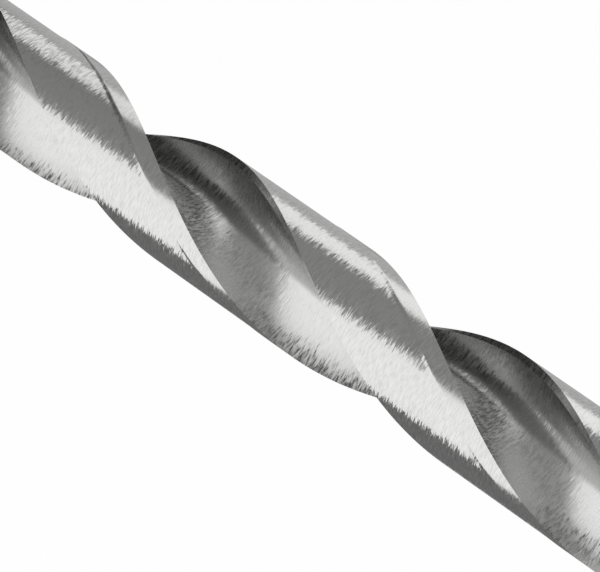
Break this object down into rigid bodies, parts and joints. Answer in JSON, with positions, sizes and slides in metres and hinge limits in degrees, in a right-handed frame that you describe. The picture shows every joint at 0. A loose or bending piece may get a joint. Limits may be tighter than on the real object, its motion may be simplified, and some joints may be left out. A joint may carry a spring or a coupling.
{
  "type": "twist drill bit",
  "caption": "Jobber twist drill bit: right-hand helical flutes, margins, a ground cutting tip and a plain straight shank, for drilling metal.",
  "frame": {"origin": "middle of the flat end of the shank", "axes": "+Z along the drill's axis, from the shank to the cutting tip; the corner of one lip lies on +X"},
  "size_m": [0.01, 0.01, 0.133],
  "materials": {
    "ground_steel": "bright ground high speed steel, with fine grinding lines round the lands and swirling along the flutes"
  },
  "bodies": {
    "root": {"drill_bit": "ground_steel"}
  },
  "joints": []
}
